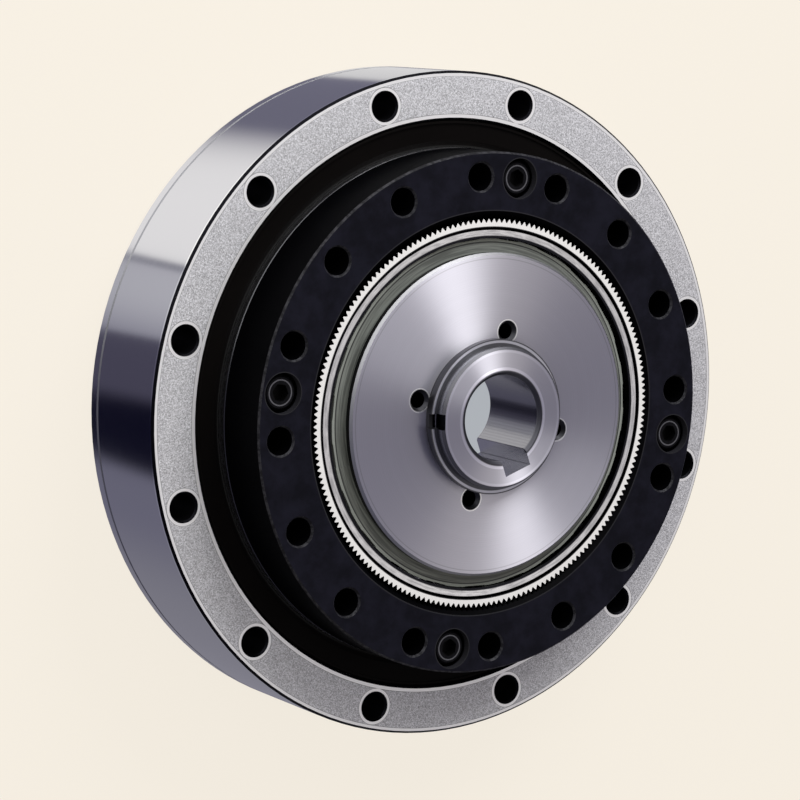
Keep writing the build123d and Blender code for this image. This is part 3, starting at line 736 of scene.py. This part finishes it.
class GEAR_OT_seals(GearStep, bpy.types.Operator):
    """Give the lip seal and the two ring seals their rubber"""

    bl_idname = "gear.seals"
    bl_label = "Seals"

    def execute(self, context):
        look = context.scene.gear_dark
        for name, colour, members in (
            ("brown rubber", look.seal, ("front_seal",)),
            ("black rubber", ring_seal_colour, ("flange_o_ring", "spline_o_ring")),
        ):
            shader = Shader(name)
            grain = shader.noise(shader.place, scale=2600.0, detail=3.0)
            dust = shader.noise(shader.place, scale=240.0, detail=4.0)
            dusty = shader.mix(shader.scaled(dust, 0.0, 0.6), colour, tinted(colour, dust_share))
            # Painted highlight: the lip is lighter than the rest of the rubber
            lip = shader.below(shader.radius, *seal_lip_highlight_reach)
            material = shader.finish(
                Base_Color=shader.mix(lip, dusty, lip_highlight_colour),
                Roughness=shader.scaled(grain, 0.42, 0.62),
                Specular_IOR_Level=0.04,
                Normal=shader.bump(grain, depth=0.01 * MM, strength=0.4),
            )
            for node in members:
                give(node, material)
        return {"FINISHED"}


# Flexspline: its toothed length, the edge of its flange with painted shade on its joint's chamfer,
# and the flanks and bore of its rim with painted shade
toothed_length = (rim_front - 12 * MM, rim_front - 10 * MM)
flange_edge_height = (2.05 * MM, 2.12 * MM)
flange_joint = (54 * MM, 54.2 * MM)
tooth_flanks = (tooth_root - 0.12 * MM, tooth_root - 0.06 * MM)
rim_bore_edge = (rim_bore + 0.08 * MM, rim_bore + 0.18 * MM)
cup_colours = ((0.34, 0.335, 0.33), (0.50, 0.49, 0.48))
flange_edge_colour = (0.66, 0.66, 0.68)
# Painted shade: the chamfer at the flange's joint is darkened to dim the highlight it catches
flange_joint_shade_colour = (0.26, 0.26, 0.27)
# Painted shade between the teeth and at the rim's bore
tooth_gap_shade_colour = (0.012, 0.012, 0.014)


class GEAR_OT_flexspline(GearStep, bpy.types.Operator):
    """Finish the flexspline: bright teeth, a plain cup and a ground flange edge"""

    bl_idname = "gear.flexspline"
    bl_label = "Flexspline"

    def execute(self, context):
        look = context.scene.gear_steel
        shader = Shader("flexspline steel")
        toothed = shader.step(shader.z, *toothed_length)
        grind = shader.noise(shader.turned_place(stretch=0.004), scale=6000.0)
        stain = shader.noise(shader.place, scale=130.0, detail=4.0)
        edge = shader.both(
            shader.step(shader.radius, *unit_side), shader.below(shader.z, *flange_edge_height)
        )
        # Painted shade on the chamfer at the flange's joint
        shaded_joint = shader.both(shader.sloped, shader.step(shader.radius, *flange_joint))
        cup = shader.mix(shader.scaled(stain, 0.1, 0.9), *cup_colours)
        cup = shader.mix(edge, cup, flange_edge_colour)
        cup = shader.mix(shaded_joint, cup, flange_joint_shade_colour)
        # Painted shade on the tooth flanks and the rim's bore edge
        dark = shader.math(
            "MAXIMUM",
            shader.both(
                shader.step(shader.round_radius, *tooth_flanks), shader.opposite(shader.level)
            ),
            shader.below(shader.round_radius, *rim_bore_edge),
        )
        rim = shader.mix(dark, look.teeth, tooth_gap_shade_colour)
        cup_roughness = shader.blend(edge, shader.scaled(grind, 0.34, 0.5), 0.12)
        give("flexspline", shader.finish(
            Base_Color=shader.mix(toothed, cup, rim),
            Metallic=shader.blend(shader.both(toothed, shader.level), 1.0, 0.5),
            Roughness=shader.blend(toothed, cup_roughness, 0.36),
            Normal=shader.bump(grind, depth=0.002 * MM, strength=0.4),
        ))
        return {"FINISHED"}


# Races: painted shade at the inner and outer edges of the wave bearing's beside the gaps, painted
# shade on the inner ring's chamfers, and rings left by grinding
race_inner_edge = (race_bore - 0.1 * MM, race_bore + 0.42 * MM, 0.1 * MM)
race_outer_edge = (race_outside - 0.45 * MM, race_outside - 0.38 * MM)
smear_contrast = (0.3, 0.75)
ring_contrast = (0.45, 0.6)
smear_share = 0.78
ring_mark_strength = 0.55
ring_mark_colour = (0.34, 0.34, 0.35)
# Painted shade at the race edges, beside the gaps
race_inner_shade_colour = (0.016, 0.016, 0.02)
race_outer_shade_colour = (0.01, 0.01, 0.012)
inner_ring_colour = (0.52, 0.52, 0.53)
# Painted shade: the inner ring's chamfers are darkened to dim their highlight
inner_ring_chamfer_shade_colour = (0.08, 0.08, 0.085)


class GEAR_OT_races(GearStep, bpy.types.Operator):
    """Grind the wave bearing's races and the inner bearing ring"""

    bl_idname = "gear.races"
    bl_label = "Bearing races"

    def execute(self, context):
        look = context.scene.gear_steel
        wave_bearing_races = ("wave_bearing_outer_race", "wave_bearing_inner_race")
        for name, colour, members in (
            ("ground race steel", look.race, wave_bearing_races),
            ("inner ring steel", inner_ring_colour, ("inner_bearing_ring",)),
        ):
            shader = Shader(name)
            turned = shader.turned_place(stretch=0.003)
            marks = shader.noise(turned, scale=7000.0)
            rings = shader.noise(turned, scale=3200.0, detail=3.0, roughness=0.6)
            smear = shader.noise(shader.place, scale=420.0, detail=4.0, roughness=0.6)
            smeared = tinted(colour, smear_share)
            ringed = shader.both(shader.step(rings, *ring_contrast), ring_mark_strength)
            tint = shader.mix(shader.step(smear, *smear_contrast), colour, smeared)
            tint = shader.mix(ringed, tint, ring_mark_colour)
            if members == wave_bearing_races:
                # Painted shade at the inner and outer edges of the races
                inner_edge_shade = shader.band(shader.round_radius, *race_inner_edge)
                outer_edge_shade = shader.step(shader.round_radius, *race_outer_edge)
                tint = shader.mix(inner_edge_shade, tint, race_inner_shade_colour)
                tint = shader.mix(outer_edge_shade, tint, race_outer_shade_colour)
            else:
                # Painted shade on the inner ring's chamfers
                tint = shader.mix(shader.sloped, tint, inner_ring_chamfer_shade_colour)
            material = shader.finish(
                Base_Color=tint,
                Metallic=1.0,
                Roughness=shader.scaled(marks, 0.2, 0.34),
                Anisotropic=0.4,
                Tangent=shader.across_marks(),
                Normal=shader.bump(marks, depth=0.002 * MM, strength=0.4),
            )
            for node in members:
                give(node, material)
        return {"FINISHED"}


# Balls, rollers and cages: the retainer's light outer band, the line beside it and its rings
rolling_colour = (0.72, 0.72, 0.74)
spacer_colour = (0.72, 0.67, 0.55)
plastic_cloud_share = 1.35
retainer_band = (27.98 * MM, 28.06 * MM)
retainer_line = (27.8 * MM, 27.98 * MM, 0.05 * MM)
retainer_ring_contrast = (0.38, 0.62)
retainer_ring_share = 0.5
retainer_band_share = 1.8
retainer_band_strength = 0.7
retainer_line_share = 0.08


class GEAR_OT_rolling_parts(GearStep, bpy.types.Operator):
    """Polish the balls and rollers and give their cages plain plastic"""

    bl_idname = "gear.rolling_parts"
    bl_label = "Balls, rollers and cages"

    def execute(self, context):
        look = context.scene.gear_dark
        shader = Shader("polished rolling steel")
        smear = shader.noise(shader.place, scale=700.0, detail=3.0)
        material = shader.finish(
            Base_Color=rolling_colour, Metallic=1.0, Roughness=shader.scaled(smear, 0.06, 0.16)
        )
        for node in (
            "wave_bearing_balls",
            "front_thrust_rollers",
            "rear_thrust_rollers",
            "loading_plug_pin",
        ):
            give(node, material)
        for name, colour, node in (
            ("retainer plastic", look.retainer, "ball_retainer"),
            ("spacer plastic", spacer_colour, "roller_spacers"),
        ):
            shader = Shader(name)
            grain = shader.noise(shader.place, scale=2400.0, detail=3.0)
            cloud = shader.noise(shader.place, scale=300.0, detail=3.0)
            clouded = tinted(colour, plastic_cloud_share)
            tint = shader.mix(shader.scaled(cloud, 0.0, 0.5), colour, clouded)
            if node == "ball_retainer":
                rings = shader.noise(
                    shader.turned_place(stretch=0.0008), scale=2600.0, detail=3.0, roughness=0.65
                )
                ringed = shader.step(rings, *retainer_ring_contrast)
                band = shader.step(shader.radius, *retainer_band)
                band = shader.both(band, retainer_band_strength)
                line = shader.band(shader.radius, *retainer_line)
                tint = shader.mix(ringed, tinted(colour, retainer_ring_share), tint)
                tint = shader.mix(band, tint, tinted(colour, retainer_band_share))
                tint = shader.mix(line, tint, tinted(colour, retainer_line_share))
            give(node, shader.finish(
                Base_Color=tint,
                Roughness=shader.scaled(grain, 0.4, 0.55),
                Normal=shader.bump(grain, depth=0.008 * MM, strength=0.3),
            ))
        return {"FINISHED"}


# Disc: its rim from the inside outwards with painted shade on its chamfer and wall, and its tapped
# holes from the outside inwards: a painted highlight round each, then painted shade in the
# countersink and the hole
disc_rim_line = (disc_radius - 1.0 * MM, disc_radius - 0.85 * MM, 0.06 * MM)
disc_rim_line_strength = 0.35
disc_rim_line_colour = (0.2, 0.2, 0.2)
disc_chamfer = (disc_radius - 1.0 * MM, disc_radius - 0.9 * MM)
# Painted shade: the disc's chamfer is darkened to dim its highlight
disc_chamfer_shade_colour = (0.36, 0.36, 0.37)
disc_wall = (disc_radius - 0.15 * MM, disc_radius - 0.1 * MM)
# Painted shade: the disc's outer wall is made near black, standing for the shade in the gap beside
# it
disc_wall_shade_colour = (0.012, 0.012, 0.014)
# Painted highlight round each tapped hole, then painted shade in its countersink and inside it
disc_hole_highlight_and_shade_rings = (
    (1.98 * MM, 2.06 * MM, (0.98, 0.98, 0.97)),
    (1.76 * MM, 1.84 * MM, (0.05, 0.05, 0.055)),
    (1.24 * MM, 1.3 * MM, (0.01, 0.01, 0.012)),
)

# Hub: its walls and chamfer with painted shade, its keyway, the bands of its front face with
# painted highlights, the slot in its side with painted shade, and its bore with painted shade on
# its edge
# Painted shade: the hub's walls are darker than its level face
hub_wall_shade_colours = ((0.20, 0.20, 0.22), (0.36, 0.36, 0.38))
hub_wall_contrast = (0.35, 0.65)
# Painted shade: the hub's chamfer is darkened to dim its glint
hub_chamfer_shade_colour = (0.13, 0.13, 0.14)
keyway_reach = (7.12 * MM, 9.6 * MM, 0.05 * MM)
keyway_colour = (0.62, 0.62, 0.64)
# Painted highlight: a lighter band along the outer edge of the hub's face
hub_edge_highlight_band = (hub_radius - 0.85 * MM, hub_radius - 0.5 * MM, 0.1 * MM)
hub_edge_highlight_share = 1.12
hub_slot_cosine = (0.9935, 0.9945)
hub_slot_depth = (hub_radius - 0.8 * MM, hub_radius - 0.7 * MM)
# Painted shade: the walls of the slot are made near black
hub_slot_shade_colour = (0.004, 0.004, 0.005)
# Painted highlight: a lighter band round the bore on the front face
bore_highlight_band = (7.82 * MM, 8.25 * MM, 0.06 * MM)
bore_highlight_share = 1.3
# Painted shade: the bore's front edge is darkened to dim its highlight
bore_edge = (7.05 * MM, 7.72 * MM, 0.08 * MM)
bore_edge_height = (36.5 * MM, 36.6 * MM)
bore_edge_shade_colour = (0.08, 0.08, 0.09)

# Marks and brightness that the disc and the hub share
turned_band_share = 0.86
turned_mark_share = 0.9

# Name, colour, least and most roughness, and node of the steel pieces that sit on the hub
hub_fittings = (
    ("snap ring steel", (0.55, 0.55, 0.59), (0.35, 0.52), "hub_snap_ring"),
    ("coupling steel", (0.45, 0.45, 0.47), (0.28, 0.45), "coupling_insert"),
)
lit_rim = (hub_radius + 0.5 * MM, hub_radius + 0.9 * MM, 0.05 * MM)
unlit_share = 0.2
washer_colour = (0.02, 0.02, 0.024)


class GEAR_OT_wave_generator(GearStep, bpy.types.Operator):
    """Turn the disc and the hub, and finish what is on them"""

    bl_idname = "gear.wave_generator"
    bl_label = "Wave generator and hub"

    def execute(self, context):
        look = context.scene.gear_steel
        for name, colour, node in (
            ("turned disc steel", look.disc, "wave_generator_plug"),
            ("turned hub steel", look.hub, "input_hub"),
        ):
            shader = Shader(name)
            marks = shader.noise(
                shader.radius, scale=1 / look.mark_spacing, detail=3.0, roughness=0.6, one_way=True
            )
            bands = shader.noise(shader.radius, scale=420.0, one_way=True)
            banded = tinted(colour, turned_band_share)
            marked = tinted(colour, turned_mark_share)
            broad = shader.mix(shader.scaled(bands, 0.0, 0.5), colour, banded)
            tint = shader.mix(shader.step(marks, *full_contrast), broad, marked)
            if node == "wave_generator_plug":
                tint = self.disc_details(shader, tint)
            else:
                tint = self.hub_details(shader, tint, marks, colour)
            smooth = shader.math("MAXIMUM", shader.level, shader.sloped)
            give(node, shader.finish(
                Base_Color=tint,
                Metallic=1.0,
                Roughness=shader.blend(smooth, 0.24, shader.scaled(marks, 0.40, 0.52)),
                Anisotropic=shader.both(shader.level, 0.9),
                Tangent=shader.across_marks(),
                Normal=shader.bump(marks, depth=0.002 * MM, strength=0.5),
            ))
        for name, colour, roughness, node in hub_fittings:
            shader = Shader(name)
            smear = shader.noise(shader.place, scale=900.0, detail=3.0)
            lit = shader.both(shader.level, shader.band(shader.radius, *lit_rim))
            give(node, shader.finish(
                Base_Color=shader.mix(lit, tinted(colour, unlit_share), colour),
                Metallic=1.0,
                Roughness=shader.scaled(smear, *roughness),
            ))
        shader = Shader("rub washer")
        grain = shader.noise(shader.place, scale=2600.0, detail=3.0)
        give("rub_washer", shader.finish(
            Base_Color=washer_colour, Roughness=shader.scaled(grain, 0.4, 0.6)
        ))
        return {"FINISHED"}

    def disc_details(self, shader, tint):
        """The disc's colour with its rim and its tapped holes, where shade and highlights are
        painted.
        """
        rim_line = shader.both(
            shader.band(shader.radius, *disc_rim_line), disc_rim_line_strength
        )
        # Painted shade on the disc's chamfer
        shaded_chamfer = shader.both(shader.sloped, shader.step(shader.radius, *disc_chamfer))
        # Painted shade on the disc's outer wall
        wall = shader.both(
            shader.below(shader.up, *wall_limits), shader.step(shader.radius, *disc_wall)
        )
        tint = shader.mix(rim_line, tint, disc_rim_line_colour)
        tint = shader.mix(shaded_chamfer, tint, disc_chamfer_shade_colour)
        tint = shader.mix(wall, tint, disc_wall_shade_colour)
        to_hole = shader.distance_to_holes(
            disc_hole_circle, disc_holes["count"], disc_hole_angle
        )
        for low, high, ring_colour in disc_hole_highlight_and_shade_rings:
            tint = shader.mix(shader.below(to_hole, low, high), tint, ring_colour)
        return tint

    def hub_details(self, shader, tint, marks, colour):
        """The hub's colour with its walls, keyway, front bands and slot: painted shade on the
        walls, chamfer, slot and bore edge, and painted highlights in the front bands.
        """
        keyway = shader.band(shader.radius, *keyway_reach)
        # Painted shade on the walls, lighter in the keyway
        wall = shader.mix(shader.step(marks, *hub_wall_contrast), *hub_wall_shade_colours)
        wall = shader.mix(keyway, wall, keyway_colour)
        tint = shader.mix(shader.level, wall, tint)
        # Painted shade on the hub's chamfer
        shaded_chamfer = shader.both(shader.sloped, shader.opposite(keyway))
        # Painted highlight along the outer edge of the face
        face_edge_highlight = shader.both(shader.band(shader.radius, *hub_edge_highlight_band), shader.level)
        # Painted shade in the slot
        slot = shader.both(
            shader.opposite(shader.level),
            shader.step(shader.math("COSINE", shader.from_major_axis), *hub_slot_cosine),
            shader.step(shader.radius, *hub_slot_depth),
        )
        # Painted highlight round the bore
        bore_highlight = shader.both(shader.band(shader.radius, *bore_highlight_band), shader.level)
        # Painted shade on the bore's front edge
        inner_edge_shade = shader.both(
            shader.band(shader.radius, *bore_edge), shader.step(shader.z, *bore_edge_height)
        )
        for mask, mask_colour in (
            (shaded_chamfer, hub_chamfer_shade_colour),
            (face_edge_highlight, tinted(colour, hub_edge_highlight_share)),
            (slot, hub_slot_shade_colour),
            (bore_highlight, tinted(colour, bore_highlight_share)),
            (inner_edge_shade, bore_edge_shade_colour),
        ):
            tint = shader.mix(mask, tint, mask_colour)
        return tint


class GEAR_PT_steps(bpy.types.Panel):
    """Lists the steps that finish the gear unit"""

    bl_idname = "GEAR_PT_steps"
    bl_label = "Gear unit"
    bl_space_type = "VIEW_3D"
    bl_region_type = "UI"
    bl_category = "Gear unit"

    def draw(self, context):
        column = self.layout.column()
        for step in steps:
            column.operator(step.bl_idname)
        for name in looks:
            box = column.box()
            group = getattr(context.scene, name)
            for item in group.bl_rna.properties:
                if not item.is_readonly and item.identifier != "name":
                    box.prop(group, item.identifier)


looks = {
    "gear_ring": RingLook,
    "gear_steel": SteelLook,
    "gear_dark": DarkLook,
    "gear_studio": StudioLook,
}
steps = (
    GEAR_OT_studio,
    GEAR_OT_outer_ring,
    GEAR_OT_circular_spline,
    GEAR_OT_screws,
    GEAR_OT_seals,
    GEAR_OT_flexspline,
    GEAR_OT_races,
    GEAR_OT_rolling_parts,
    GEAR_OT_wave_generator,
)


def register():
    for name, group in looks.items():
        bpy.utils.register_class(group)
        setattr(bpy.types.Scene, name, PointerProperty(type=group))
    for step in steps:
        bpy.utils.register_class(step)
    bpy.utils.register_class(GEAR_PT_steps)


def unregister():
    bpy.utils.unregister_class(GEAR_PT_steps)
    for step in reversed(steps):
        bpy.utils.unregister_class(step)
    for name, group in looks.items():
        delattr(bpy.types.Scene, name)
        bpy.utils.unregister_class(group)


def main():
    register()
    for step in steps:
        group, call = step.bl_idname.split(".")
        getattr(getattr(bpy.ops, group), call)()


if __name__ == "__main__":
    main()
